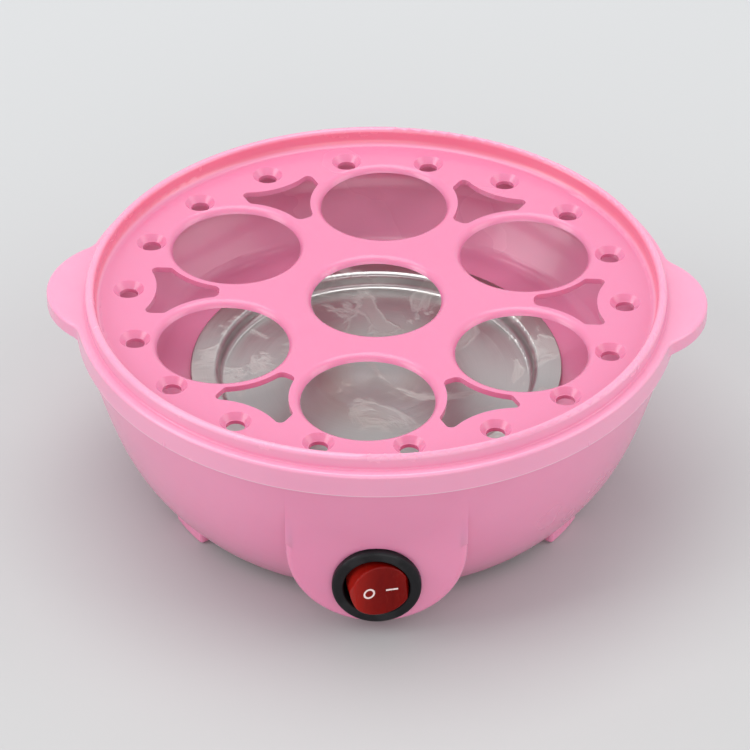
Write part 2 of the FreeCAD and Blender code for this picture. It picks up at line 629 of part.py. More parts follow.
def bowl_shell():
    solid = bowl_body(0, RIM_TOP, RIM_RADIUS, BASE_UNDER)
    boss = boss_prism(0, SWITCH_FACE, BOSS_BACK, 0)
    pad_deep = GLAND_SEAT - BOSS_BACK
    pad = cylinder(PAD_RADIUS, pad_deep, V(0, BOSS_BACK, GLAND_HEIGHT), Y)
    feet = []
    for angle in FOOT_ANGLES:
        foot = ring_segment(FOOT_OUT - FOOT_WIDE, FOOT_OUT, 0, FOOT_RISE, angle, FOOT_SPAN)
        edges = [e for e in foot.Edges if e.CenterOfMass.z < 0.01 or e.BoundBox.ZLength > FOOT_RISE / 2]
        feet.append(foot.makeFillet(FOOT_EDGE, edges))
    corner = boss.cut(rounded_boss(boss)).cut(solid)
    blended = fuse([solid, boss])
    on_face = [e for e in blended.Edges
               if abs(e.BoundBox.YMin + SWITCH_FACE) < 0.05 and e.BoundBox.YLength < 0.05]
    crease = [e for e in on_face if e.CenterOfMass.z > BOSS_WIDEST and e.BoundBox.XLength > BOSS_HALF]
    blended = hollow_blend(blended, crease, BOSS_BLEND)
    solid = fuse([blended.cut(corner), pad] + feet)

    hollow = bowl_body(WALL, RIM_TOP + OVERRUN, RIM_RADIUS - WALL, BASE_FLOOR)
    boss_hollow = boss_prism(WALL, SWITCH_FACE - WALL, BOSS_BACK, BASE_FLOOR)
    pad_hollow = cylinder(PAD_RADIUS - WALL, pad_deep, V(0, BOSS_BACK - WALL, GLAND_HEIGHT), Y)
    shell = solid.cut(hollow).cut(boss_hollow).cut(pad_hollow)

    # posts that take the shell screws from underneath, and posts for the cord clamp
    posts, bores = [], []
    for angle in POST_ANGLES:
        spot = polar(POST_CIRCLE, angle)
        posts.append(cylinder(POST_RADIUS, POST_TOP - BASE_UNDER, spot + Z * BASE_UNDER))
        bores.append(cylinder(SCREW_HEAD + SLIP, HEAD_SEAT + OVERRUN, spot - Z * OVERRUN))
        bores.append(cylinder(SCREW_SHANK + SLIP, POST_TOP + OVERRUN, spot))
    for side in (-1, 1):
        spot = V(side * CLAMP_SCREWS, CLAMP_BAR_Y, BASE_FLOOR)
        posts.append(cylinder(CLAMP_POST, CLAMP_POST_TOP - BASE_FLOOR, spot))
        bores.append(cylinder(CLAMP_SCREW_SHANK + RUN, POST_TOP, spot + Z * WALL / 2))
    shell = fuse([shell] + posts).cut(Part.makeCompound(bores))

    # hole for the switch, hole for the gland, and cooling slots underneath
    slots = []
    for i in range(SLOT_COUNT):
        slot = box(SLOT_LENGTH, SLOT_WIDE, 2 * OVERRUN, V(SLOT_CIRCLE, 0, BASE_UNDER))
        ends = [e for e in slot.Edges if e.BoundBox.ZLength > OVERRUN]
        slots.append(turned(slot.makeFillet(SLOT_WIDE / 2 - 0.05, ends), 360 / SLOT_COUNT * i))
    through = WALL + 2 * OVERRUN
    holes = [cylinder(SWITCH_HOLE, through, V(0, -SWITCH_FACE - OVERRUN, SWITCH_HEIGHT), Y),
             cylinder(BEZEL_RADIUS + SPOT_FACE, OVERRUN, V(0, -SWITCH_FACE, SWITCH_HEIGHT), -Y),
             cylinder(GLAND_BODY + RUN, through, V(0, GLAND_SEAT + OVERRUN, GLAND_HEIGHT), -Y),
             cylinder(GLAND_FLANGE + SPOT_FACE, 2 * OVERRUN, V(0, GLAND_SEAT, GLAND_HEIGHT), Y)]
    return shell.cut(Part.makeCompound(slots + holes)).removeSplitter()


# ================================================================ basin, plate and heater
def water_basin():
    outer = RIM_RADIUS
    spigot = outer - WALL - SLIP
    side = BASIN_IN + BASIN_WALL
    shoulder = BASIN_TOP - BASIN_SHOULDER
    corners = [(0, BASIN_FLOOR, 0), (BASIN_FOOT, BASIN_FLOOR, BASIN_CORNER), (BASIN_IN, shoulder, BASIN_BEND),
               (BASIN_IN, BASIN_TOP, 2 * CRISP), (outer, BASIN_TOP, CRISP), (outer, RIM_TOP, 0),
               (spigot, RIM_TOP, 0), (spigot, RIM_TOP - SPIGOT, CRISP), (side, RIM_TOP - SPIGOT, 0),
               (side, shoulder, BASIN_BEND), (BASIN_FOOT + BASIN_WALL * 0.6, BASIN_UNDER, BASIN_CORNER),
               (0, BASIN_UNDER, 0)]
    basin = lathe(corners)
    towers, pilots = [], []
    tower_low = POST_TOP + POST_GAP
    for angle in POST_ANGLES:
        spot = polar(POST_CIRCLE, angle)
        towers.append(cylinder(TOWER_RADIUS, BASIN_UNDER + TOWER_ROOT - tower_low, spot + Z * tower_low))
        pilots.append(cylinder(PILOT, SCREW_LENGTH + SEAT_WEB / 2, spot + Z * HEAD_SEAT))
    basin = fuse([basin] + towers)
    opening = cylinder(OPENING, BASIN_WALL + 2 * OVERRUN, V(0, 0, BASIN_UNDER - OVERRUN))
    return basin.cut(Part.makeCompound(pilots + [opening])).removeSplitter()


def heating_plate():
    """Dished steel sheet that the water stands on."""
    low, high = PLATE_FLOOR, PLATE_RIM
    inside = PLATE_DISH - PLATE_SHEET
    edge = PLATE_SHEET * 0.4
    corners = [(0, low, 0), (inside, low, PLATE_BEND_IN), (inside, high, PLATE_BEND_IN),
               (PLATE_RADIUS, high, edge), (PLATE_RADIUS, high - PLATE_SHEET, edge),
               (PLATE_DISH, high - PLATE_SHEET, CRISP), (PLATE_DISH, PLATE_BACK, PLATE_BEND_OUT),
               (0, PLATE_BACK, 0)]
    return lathe(corners)


def plate_gasket():
    """Silicone ring gripping the edge of the basin's hole, under the plate's flange and over the clamp."""
    inner, groove, outer = PLATE_DISH + SLIP, OPENING - SLIP / 2, PLATE_RADIUS - GASKET_INSET
    top, low = BASIN_FLOOR + GASKET_THICK - SLIP / 2, CLAMP_TOP + SLIP / 2
    lap, under = BASIN_FLOOR + SLIP / 4, BASIN_UNDER - SLIP / 4
    return lathe([(inner, top, CRISP + SLIP), (outer, top, CRISP), (outer, lap, 0), (groove, lap, 0),
                  (groove, under, 0), (CLAMP_OUT, under, CRISP), (CLAMP_OUT, low, 0), (inner, low, 0)])


def heat_spreader():
    """Cast aluminium disc on the back of the plate, with the trough that holds the heating tube."""
    under = SPREADER_UNDER
    disc = lathe([(0, PLATE_BACK, 0), (SPREADER_RADIUS, PLATE_BACK, CRISP), (SPREADER_RADIUS, under, CRISP),
                  (0, under, 0)])
    lips = []
    lip_low = under - ELEMENT_LIP_HIGH
    for inner in (ELEMENT_CIRCLE - ELEMENT_WIDE - SLIP - ELEMENT_LIP, ELEMENT_CIRCLE + ELEMENT_WIDE + SLIP):
        lips.append(ring_segment(inner, inner + ELEMENT_LIP, lip_low, under, 90, ELEMENT_LIP_SPAN))
    bores = [cylinder(SCREW_SHANK + RUN, THERMOSTAT_BITE + SLIP, V(side * THERMOSTAT_SCREWS, 0, under))
             for side in (-1, 1)]
    return fuse([disc] + lips).cut(Part.makeCompound(bores))


def heating_element():
    """C-shaped sheathed heating tube, flattened on top where it lies on the spreader."""
    top = SPREADER_UNDER
    low = top - ELEMENT_HIGH
    inner, outer = ELEMENT_CIRCLE - ELEMENT_WIDE, ELEMENT_CIRCLE + ELEMENT_WIDE
    tube_ring = ring_segment(inner, outer, low, top, 90, 360 - ELEMENT_GAP)
    edges = [e for e in tube_ring.Edges if abs(e.CenterOfMass.z - low) < 0.01 and e.Length > 3 * ELEMENT_WIDE]
    return tube_ring.makeFillet(ELEMENT_ROUND, edges)


def element_ends():
    """Angles of the tube's two cold ends, on the +X side and on the -X side."""
    return [90 + side * (180 - ELEMENT_GAP / 2 - PIN_ANGLE) for side in (-1, 1)]


def element_pins():
    pins = []
    for angle in element_ends():
        spot = polar(ELEMENT_CIRCLE, angle, SPREADER_UNDER - ELEMENT_HIGH - PIN_DROP)
        pins.append(cylinder(PIN_RADIUS, PIN_DROP, spot))
    return Part.makeCompound(pins)


def element_beads():
    beads = []
    for angle in element_ends():
        spot = polar(ELEMENT_CIRCLE, angle, SPREADER_UNDER - ELEMENT_HIGH - BEAD_HIGH)
        bead = cylinder(BEAD_RADIUS, BEAD_HIGH, spot).cut(cylinder(PIN_RADIUS + RUN, BEAD_HIGH, spot))
        beads.append(bead)
    return Part.makeCompound(beads)


def plate_clamp():
    """Ring with three lugs, drawn up under the basin by the plate's studs."""
    ring = tube(CLAMP_IN, CLAMP_OUT, CLAMP_TOP - CLAMP_THICK, CLAMP_TOP)
    step_in = STUD_CIRCLE + LUG_WIDE / 2
    step_out = step_in + CLAMP_THICK
    foot = box(LUG_WIDE, LUG_WIDE, CLAMP_THICK, V(STUD_CIRCLE, 0, LUG_TOP - CLAMP_THICK / 2))
    riser = box(CLAMP_THICK, LUG_WIDE, CLAMP_TOP - LUG_TOP + CLAMP_THICK,
                V((step_in + step_out) / 2, 0, (CLAMP_TOP + LUG_TOP - CLAMP_THICK) / 2))
    arm_end = CLAMP_OUT - CLAMP_THICK
    arm_middle = V((arm_end + step_in) / 2, 0, CLAMP_TOP - CLAMP_THICK / 2)
    arm = box(arm_end - step_in, LUG_WIDE, CLAMP_THICK, arm_middle)
    hole = cylinder(STUD_RADIUS + SLIP, 2 * OVERRUN, V(STUD_CIRCLE, 0, LUG_TOP - OVERRUN))
    lug = fuse([foot, riser, arm]).cut(hole)
    return fuse([ring] + [turned(lug, angle) for angle in STUD_ANGLES])


def plate_studs():
    low = PLATE_BACK - STUD_LENGTH
    return Part.makeCompound([cylinder(STUD_RADIUS, STUD_LENGTH, polar(STUD_CIRCLE, angle, low))
                              for angle in STUD_ANGLES])


def stud_nuts():
    nuts = []
    low = LUG_TOP - CLAMP_THICK - NUT_THICK
    for angle in STUD_ANGLES:
        nut = hexagon(NUT_ACROSS, NUT_THICK, V(0, 0, low))
        nut = nut.cut(cylinder(STUD_RADIUS + RUN, NUT_THICK, V(0, 0, low)))
        nuts.append(turned(nut, angle).translated(polar(STUD_CIRCLE, angle)))
    return Part.makeCompound(nuts)


def thermostat():
    """Snap-action disc thermostat hung on its flange under the middle of the heat spreader."""
    top = SPREADER_UNDER
    long, wide, thick = THERMOSTAT_FLANGE
    flange = box(long, wide, thick, V(0, 0, top - thick / 2))
    corners = [e for e in flange.Edges if e.BoundBox.ZLength > thick / 2]
    flange = flange.makeFillet(wide / 2 - SLIP / 2, corners)
    for side in (-1, 1):
        flange = flange.cut(cylinder(SCREW_SHANK + RUN, thick, V(side * THERMOSTAT_SCREWS, 0, top - thick)))
    low, body = top - THERMOSTAT_CAP, THERMOSTAT_RADIUS - THERMOSTAT_STEP
    can = lathe([(0, top, 0), (THERMOSTAT_RADIUS, top, CRISP), (THERMOSTAT_RADIUS, low, 0), (body, low, 0),
                 (body, top - THERMOSTAT_HIGH, CRISP), (0, top - THERMOSTAT_HIGH, 0)])
    return fuse([can, flange])


def thermostat_tabs():
    tabs = []
    for side in (-1, 1):
        centre = V(0, side * TAB_AT, SPREADER_UNDER - THERMOSTAT_HIGH - TAB_LONG / 2)
        tabs.append(box(BLADE_WIDE, BLADE_THICK, TAB_LONG, centre))
    return Part.makeCompound(tabs)


def thermostat_screws():
    screws = []
    low = SPREADER_UNDER - THERMOSTAT_FLANGE[2]
    for side in (-1, 1):
        spot = V(side * THERMOSTAT_SCREWS, 0, low)
        head = cylinder(THERMOSTAT_HEAD, THERMOSTAT_HEAD_H, spot - Z * THERMOSTAT_HEAD_H)
        head = head.makeFillet(CRISP, [e for e in head.Edges if e.CenterOfMass.z < low - THERMOSTAT_HEAD_H / 2
                                       and e.BoundBox.ZLength < 0.01])
        screws.append(fuse([head, cylinder(SCREW_SHANK, THERMOSTAT_FLANGE[2] + THERMOSTAT_BITE, spot)]))
    return Part.makeCompound(screws)


def thermal_fuse():
    """Axial thermal fuse lying against the heat spreader, with its two wires."""
    body = cylinder(FUSE_RADIUS, FUSE_LENGTH, V(-FUSE_LENGTH / 2, FUSE_Y, FUSE_Z), X)
    body = body.makeFillet(CRISP, body.Edges)
    half = FUSE_LENGTH / 2 + FUSE_WIRE_OUT
    wire = cylinder(FUSE_WIRE, 2 * half, V(-half, FUSE_Y, FUSE_Z), X)
    return fuse([body, wire])


def fuse_clip():
    """Bent steel strap that holds the fuse up against the spreader."""
    inner, outer = FUSE_RADIUS + RUN, FUSE_RADIUS + RUN + CLIP_SHEET
    axis_start = V(-CLIP_WIDE / 2, FUSE_Y, FUSE_Z)
    strap = cylinder(outer, CLIP_WIDE, axis_start, X).cut(cylinder(inner, CLIP_WIDE, axis_start, X))
    strap = strap.cut(box(2 * CLIP_WIDE, 2 * outer, outer, V(0, FUSE_Y, FUSE_Z + outer / 2)))
    leg = SPREADER_UNDER - FUSE_Z
    wings = []
    for side in (-1, 1):
        leg_y = FUSE_Y + side * (inner + CLIP_SHEET / 2)
        wings.append(box(CLIP_WIDE, CLIP_SHEET, leg, V(0, leg_y, FUSE_Z + leg / 2)))
        foot = V(0, leg_y + side * CLIP_FOOT / 2, SPREADER_UNDER - CLIP_FOOT_THICK / 2)
        wings.append(box(CLIP_WIDE, CLIP_FOOT, CLIP_FOOT_THICK, foot))
    return fuse([strap] + wings)


def shell_screws():
    """Pan-head screws driven up from underneath, with a cross recess."""
    screws = []
    low = HEAD_SEAT - SCREW_HEAD_H
    for angle in POST_ANGLES:
        spot = polar(POST_CIRCLE, angle, HEAD_SEAT)
        head = cylinder(SCREW_HEAD, SCREW_HEAD_H, spot - Z * SCREW_HEAD_H)
        crown = [e for e in head.Edges if abs(e.CenterOfMass.z - low) < 0.01]
        head = head.makeFillet(SCREW_HEAD_ROUND, crown)
        for wide, deep in ((CROSS_LONG, CROSS_WIDE), (CROSS_WIDE, CROSS_LONG)):
            head = head.cut(box(wide, deep, SCREW_HEAD_H, spot - Z * SCREW_HEAD_H))
        screws.append(fuse([head, cylinder(SCREW_SHANK, SCREW_LENGTH, spot)]))
    return Part.makeCompound(screws)


# ================================================================ cord gland and wiring
def cord_gland():
    """Rubber gland in the back of the shell, with the bore that takes the mains cord."""
    face = -GLAND_FLANGE_THICK
    section = [(CORD_RADIUS, GLAND_LENGTH, CRISP / 2), (GLAND_BODY, GLAND_LENGTH, CRISP), (GLAND_BODY, 0, 0),
               (GLAND_FLANGE, 0, CRISP / 2), (GLAND_FLANGE, face, CRISP), (CORD_RADIUS, face, CRISP)]
    return turned(lathe(section), 90, X).translated(V(0, GLAND_SEAT, GLAND_HEIGHT))


def cord_clamp():
    half = CLAMP_SCREWS + CLAMP_BAR_END
    low = CLAMP_POST_TOP + CLAMP_BAR_GAP
    bar = box(2 * half, CLAMP_BAR_WIDE, CLAMP_BAR_THICK, V(0, CLAMP_BAR_Y, low + CLAMP_BAR_THICK / 2))
    for side in (-1, 1):
        spot = V(side * CLAMP_SCREWS, CLAMP_BAR_Y, low)
        bar = bar.cut(cylinder(CLAMP_SCREW_SHANK + RUN, CLAMP_BAR_THICK, spot))
    return bar


def cord_clamp_screws():
    screws = []
    seat = CLAMP_POST_TOP + CLAMP_BAR_GAP + CLAMP_BAR_THICK
    for side in (-1, 1):
        spot = V(side * CLAMP_SCREWS, CLAMP_BAR_Y, seat)
        head = cylinder(CLAMP_HEAD, CLAMP_HEAD_H, spot)
        head = head.makeFillet(CRISP, [e for e in head.Edges if e.CenterOfMass.z > seat + CLAMP_HEAD_H / 2
                                       and e.BoundBox.ZLength < 0.01])
        shank = cylinder(CLAMP_SCREW_SHANK, CLAMP_SCREW_LENGTH, spot - Z * CLAMP_SCREW_LENGTH)
        screws.append(fuse([head, shank]))
    return Part.makeCompound(screws)


def terminal_block():
    """Two-way block on the floor of the shell where the cord's cores meet the inner leads."""
    long, wide, high = BLOCK
    block = box(long, wide, high, V(0, BLOCK_Y, BASE_FLOOR + high / 2))
    block = block.makeFillet(CRISP, [e for e in block.Edges if e.CenterOfMass.z > BASE_FLOOR + CRISP])
    middle = BASE_FLOOR + high / 2
    for side in (-1, 1):
        x = side * WAY_SPACING / 2
        block = block.cut(cylinder(WAY_RADIUS + RUN, wide, V(x, BLOCK_Y - wide / 2, middle), Y))
        block = block.cut(cylinder(WAY_SCREW, high, V(x, BLOCK_Y, middle)))
    return block


def terminal_ways():
    """Brass barrels inside the block."""
    ways = []
    wide, z = BLOCK[1], BASE_FLOOR + BLOCK[2] / 2
    for side in (-1, 1):
        x = side * WAY_SPACING / 2
        way = cylinder(WAY_RADIUS, wide - 2 * WAY_INSET, V(x, BLOCK_Y - wide / 2 + WAY_INSET, z), Y)
        ways.append(way.cut(cylinder(LEAD_RADIUS, wide, V(x, BLOCK_Y - wide / 2, z), Y)))
    return Part.makeCompound(ways)


def lead(points, bend):
    """Insulated lead swept through its points with rounded bends."""
    edges = []
    at = points[0]
    for before, corner, after in zip(points, points[1:], points[2:]):
        start, middle, end = round_corner(before, corner, after, bend)
        edges.append(Part.makeLine(at, start))
        edges.append(Part.Arc(start, middle, end).toShape())
        at = end
    edges.append(Part.makeLine(at, points[-1]))
    ring = Part.Wire(Part.makeCircle(LEAD_RADIUS, points[0], points[1] - points[0]))
    return Part.Wire(edges).makePipeShell([ring], True, True)


def leads():
    """The circuit's leads: block to switch, switch to thermostat, thermostat to fuse,
    fuse to one end of the heating tube, and the other end back to the block."""
    way = WAY_SPACING / 2
    way_z = BASE_FLOOR + BLOCK[2] / 2
    start_y = BLOCK_Y - BLOCK[1] / 2 - LEAD_GAP
    turn_y = start_y - LEAD_TURN
    low = BASE_FLOOR + LEAD_RISE
    blade_y = BARREL_LENGTH + BLADE_LENGTH + LEAD_GAP - SWITCH_FACE
    aside_y = blade_y + LEAD_SWITCH_Y
    lean = BLADE_SPACING * math.tan(math.radians(SWITCH_ROLL))
    tab_z = SPREADER_UNDER - THERMOSTAT_HIGH - TAB_LONG - LEAD_GAP
    fuse_x = FUSE_LENGTH / 2 + FUSE_WIRE_OUT + LEAD_GAP
    pin_z = SPREADER_UNDER - ELEMENT_HIGH - PIN_DROP - LEAD_GAP
    pin_right, pin_left = [polar(ELEMENT_CIRCLE, angle, pin_z) for angle in element_ends()]
    blade = V(BLADE_SPACING, aside_y, SWITCH_HEIGHT + lean)
    to_switch = [V(way, start_y, way_z), V(way, turn_y, way_z), V(LEAD_SIDE, turn_y / 2, low),
                 V(LEAD_SIDE, aside_y / 2, low), blade, V(blade.x, blade_y, blade.z)]
    to_thermostat = [V(0, blade_y, SWITCH_HEIGHT), V(0, aside_y, SWITCH_HEIGHT), V(0, aside_y / 2, low),
                     V(0, -TAB_AT, low), V(0, -TAB_AT, tab_z)]
    to_fuse = [V(0, TAB_AT, tab_z), V(0, TAB_AT, low), V(-FUSE_LEAD_X, FUSE_Y, low),
               V(-FUSE_LEAD_X, FUSE_Y, FUSE_Z), V(-fuse_x, FUSE_Y, FUSE_Z)]
    to_tube = [V(fuse_x, FUSE_Y, FUSE_Z), V(FUSE_LEAD_X, FUSE_Y, FUSE_Z), V(FUSE_LEAD_X, FUSE_Y, low),
               V(pin_right.x, pin_right.y, low), pin_right]
    back = [pin_left, V(pin_left.x, pin_left.y, low), V(-LEAD_SIDE, pin_left.y / 2, low),
            V(-LEAD_SIDE, turn_y / 2, low), V(-way, turn_y, way_z), V(-way, start_y, way_z)]
    runs = [to_switch, to_thermostat, to_fuse, to_tube, back]
    return Part.makeCompound([lead(run, LEAD_BEND) for run in runs])


# ================================================================ rocker switch
def in_panel(shape):
    """From the switch's own frame to its place in the front of the shell."""
    return turned(shape, -SWITCH_ROLL, Y).translated(V(0, -SWITCH_FACE, SWITCH_HEIGHT))


def facing_front(corners):
    """Solid of revolution whose axis points out of the panel."""
    return turned(lathe(corners), 90, X)


def switch_body():
    back = -BARREL_LENGTH
    body = facing_front([
        (0, back, 0), (BARREL_RADIUS, back, CRISP), (BARREL_RADIUS, 0, 0), (BEZEL_RADIUS, 0, CRISP / 2),
        (BEZEL_RADIUS, BEZEL_THICK, BEZEL_EDGE), (BARREL_BORE, BEZEL_THICK, CRISP),
        (BARREL_BORE, back + BARREL_BACK, 0), (0, back + BARREL_BACK, 0)])
    bearing = cylinder(TRUNNION + RUN, 4 * SWITCH_HOLE, V(0, PIVOT_DEPTH, -2 * SWITCH_HOLE))
    inner = box(2 * BEZEL_RADIUS, 2 * BEZEL_RADIUS, 2 * (BARREL_BORE - BEARING_IN), V(0, 0, 0))
    body = body.cut(bearing.cut(inner))
    for x in (-BLADE_SPACING, 0, BLADE_SPACING):
        middle = V(x, BARREL_LENGTH - BARREL_BACK / 2, 0)
        body = body.cut(box(BLADE_THICK + RUN, 2 * BARREL_BACK, BLADE_WIDE + RUN, middle))
    return body


def switch_blades():
    """Middle blade has a round nose that the tilting contact rocks on, and the others end in pads."""
    back = BARREL_LENGTH + BLADE_LENGTH
    nose = cylinder(BLADE_THICK / 2, BLADE_WIDE, V(0, ARM_PIVOT, -BLADE_WIDE / 2))
    middle = box(BLADE_THICK, back - ARM_PIVOT, BLADE_WIDE, V(0, (back + ARM_PIVOT) / 2, 0))
    blades = [fuse([middle, nose])]
    for side in (-1, 1):
        blade = box(BLADE_THICK, back - CONTACT_SEAT, BLADE_WIDE,
                    V(side * BLADE_SPACING, (back + CONTACT_SEAT) / 2, 0))
        pad = box(2 * RIVET, PAD_THICK, 2 * RIVET, V(side * RIVET_AT, CONTACT_SEAT + PAD_THICK / 2, 0))
        blades.append(fuse([blade, pad]))
    return Part.makeCompound(blades)


def switch_lamp():
    """Small neon lamp behind the rocker, on two wires."""
    half = LAMP_LENGTH / 2
    glass = cylinder(LAMP_RADIUS, LAMP_LENGTH, V(LAMP_X, LAMP_DEPTH, -half))
    ends = [e for e in glass.Edges if abs(abs(e.CenterOfMass.z) - half) < 0.01]
    glass = glass.makeFillet(LAMP_RADIUS / 2, ends)
    wires = [cylinder(LAMP_WIRE, BARREL_LENGTH - BARREL_BACK - LAMP_DEPTH, V(LAMP_X, LAMP_DEPTH, z), Y)
             for z in (-half / 2, half / 2)]
    return fuse([glass] + wires)


def rocker_blank():
    """Rocker about its own pivot, not tilted: dished round face in front, stem behind."""
    drum = cylinder(ROCKER_RADIUS, ROCKER_FRONT + ROCKER_REAR, V(0, ROCKER_REAR, 0), -Y)
    drum = drum.common(cylinder(ROCKER_SWEEP, 2 * BEZEL_RADIUS, V(0, 0, -BEZEL_RADIUS)))
    drum = drum.cut(cylinder(ROCKER_DISH, 2 * BEZEL_RADIUS, V(0, -ROCKER_FACE - ROCKER_DISH, -BEZEL_RADIUS)))
    brim = [e for e in drum.Edges
            if e.CenterOfMass.y < -ROCKER_FACE / 2 and e.BoundBox.YLength < 2 * DISH_RISE]
    drum = drum.makeFillet(CRISP, brim)
    stem = cylinder(STEM_OUT, STEM_END, V(0, 0, 0), Y)
    half = BARREL_BORE + TRUNNION_OUT
    axle = cylinder(TRUNNION, 2 * half, V(0, 0, -half))
    blank = fuse([drum, stem, axle])
    return blank.cut(cylinder(STEM_IN, STEM_END + STEM_FRONT + OVERRUN, V(0, -STEM_FRONT, 0), Y))


def rocker_marks():
    """Ring and bar let into the rocker's face, off on the left and on at the right."""
    deep = ROCKER_FRONT
    left = V(-MARK_AT, 0, 0)
    ring = cylinder(MARK_RING, deep, left, -Y).cut(cylinder(MARK_RING - MARK_LINE, deep, left, -Y))
    bar = Part.makeBox(2 * MARK_RING, deep, MARK_LINE, V(MARK_AT - MARK_RING, -deep, -MARK_LINE / 2))
    low = V(0, -ROCKER_FACE - ROCKER_DISH, -BEZEL_RADIUS)
    skin = cylinder(ROCKER_DISH + MARK_DEEP, 2 * BEZEL_RADIUS, low)
    skin = skin.cut(cylinder(ROCKER_DISH, 2 * BEZEL_RADIUS, low))
    return ring.common(skin), bar.common(skin)


def tilted(shape):
    """From the rocker's pivot to the switch's frame, at rest in the off position."""
    return turned(shape, ROCKER_TILT).translated(V(0, PIVOT_DEPTH, 0))


def switch_plunger():
    rod = cylinder(PLUNGER_RADIUS, PLUNGER_REACH - PLUNGER_BACK, V(0, PLUNGER_BACK, 0), Y)
    return fuse([rod, Part.makeSphere(PLUNGER_RADIUS, V(0, PLUNGER_REACH, 0))])


def plunger_spring():
    length = PLUNGER_BACK + STEM_FRONT - 2 * SPRING_WIRE - 2 * RUN
    radius = STEM_IN - SPRING_WIRE - RUN
    spiral = Part.makeHelix(length / SPRING_TURNS, length, radius)
    ring = Part.Wire(Part.makeCircle(SPRING_WIRE, V(radius, 0, 0), Y))
    coil = Part.Wire(spiral).makePipeShell([ring], True, True)
    return turned(coil, -90, X).translated(V(0, SPRING_WIRE + RUN - STEM_FRONT, 0))


def switch_arm():
    """Tilting contact: a plate with a silvered rivet at each end."""
    plate = box(2 * ARM_HALF, ARM_THICK, ARM_WIDE, V(0, ARM_FACE + ARM_THICK / 2, 0))
    back = ARM_FACE + ARM_THICK
    rivets = [cylinder(RIVET, RIVET_THICK, V(side * RIVET_AT, back, 0), Y) for side in (-1, 1)]
    return turned(fuse([plate] + rivets), -ARM_TILT, Z, V(0, ARM_PIVOT, 0))


# ================================================================ all the sub-parts
keep("egg_tray", egg_tray())
keep("bowl_shell", bowl_shell())
keep("water_basin", water_basin())
keep("heating_plate", heating_plate())
keep("plate_gasket", plate_gasket())
keep("heat_spreader", heat_spreader())
keep("heating_element", heating_element())
keep("element_pins", element_pins())
keep("element_beads", element_beads())
keep("plate_clamp", plate_clamp())
keep("plate_studs", plate_studs())
keep("stud_nuts", stud_nuts())
keep("thermostat", thermostat())
keep("thermostat_tabs", thermostat_tabs())
keep("thermostat_screws", thermostat_screws())
keep("thermal_fuse", thermal_fuse())
keep("fuse_clip", fuse_clip())
keep("shell_screws", shell_screws())
keep("cord_gland", cord_gland())
keep("cord_clamp", cord_clamp())
keep("cord_clamp_screws", cord_clamp_screws())
keep("terminal_block", terminal_block())
keep("terminal_ways", terminal_ways())
keep("inner_leads", leads())
keep("switch_body", in_panel(switch_body()))
keep("switch_blades", in_panel(switch_blades()))
keep("switch_lamp", in_panel(switch_lamp()))
mark_off, mark_on = rocker_marks()
keep("switch_rocker", in_panel(tilted(rocker_blank().cut(mark_off).cut(mark_on))))
keep("rocker_mark_off", in_panel(tilted(mark_off)))
keep("rocker_mark_on", in_panel(tilted(mark_on)))
keep("switch_plunger", in_panel(tilted(switch_plunger())))
keep("plunger_spring", in_panel(tilted(plunger_spring())))
keep("switch_arm", in_panel(switch_arm()))

os.makedirs("parts", exist_ok=True)
for name, shape in PARTS.items():
    shape.exportStep("parts/" + name + ".step")
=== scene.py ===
import math

import bpy
from mathutils import Matrix, Vector

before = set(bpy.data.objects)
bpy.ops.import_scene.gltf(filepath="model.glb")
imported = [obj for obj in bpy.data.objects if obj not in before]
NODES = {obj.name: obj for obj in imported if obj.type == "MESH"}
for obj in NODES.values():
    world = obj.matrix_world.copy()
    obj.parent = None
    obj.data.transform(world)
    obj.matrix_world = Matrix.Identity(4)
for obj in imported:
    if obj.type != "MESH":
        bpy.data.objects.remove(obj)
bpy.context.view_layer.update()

MM = 0.001

# the Mix node's sockets when it mixes colours
MIX_FACTOR = 0
MIX_FIRST = 6
MIX_SECOND = 7
MIX_RESULT = 2

# Each pair below is where a mask is 0 and where it is 1, in metres.
# The tray's deeper floor and its painted light and shade, by radius from the centre line and by height:
FLOOR_RIM = (0.0742, 0.0732)
FLOOR_TOP = (0.0572, 0.0560)
LIP_INNER = (0.0734, 0.0744)
LIP_OUTER = (0.0762, 0.0750)
LIP_FOOT = (0.0552, 0.0562)
LIP_CREST = (0.0602, 0.0590)
GROOVE_OUTER = (0.0781, 0.0770)
GROOVE_INNER = (0.0762, 0.0769)
GROOVE_TOP = (0.0572, 0.0562)
SKIRT_FACE = (0.0790, 0.0794)
SKIRT_HEM = (0.0501, 0.0496)
# the heights where edges are rubbed:
TRAY_WEAR = (0.0550, 0.0600)
BOWL_WEAR = (0.0060, 0.0)
BASIN_WEAR = (0.0520, 0.0536)
# across the rocker, towards the side that stands out, which is painted brighter red as painted light:
RAISED_SIDE_LIGHT = (0.002, -0.009)

# floor, light and camera, in metres and watts
FLOOR_SIZE = 6.0
# painted light: the floor's colour grows lighter over this span, front to back
FLOOR_PAINTED_LIGHT = (-0.10, 0.40)
SPOTLIT = (0.0, 0.0, 0.03)
LIGHTS = [
    ("overhead", (-0.15, 0.30, 1.5), (1.4, 1.1), 11.4, (1.0, 0.99, 0.98)),
    ("left_window", (-1.2, -0.25, 0.75), (0.7, 0.9), 6.0, (0.98, 0.99, 1.0)),
    ("right_window", (1.2, -0.15, 0.70), (0.8, 1.0), 4.2, (1.0, 1.0, 0.99)),
    ("front_fill", (0.2, -1.5, 0.6), (1.4, 0.8), 5.0, (1.0, 0.98, 0.97)),
]
SKY = (0.86, 0.88, 0.90, 1.0)
SKY_STRENGTH = 0.84
LENS_MM = 178.0
SENSOR_MM = 36.0
SIGHT_LIMIT = 20.0
CAMERA_MM = (-0.35, -807.6, 618.9)
CAMERA_DOWN = 36.14
CAMERA_ROLL = -0.08


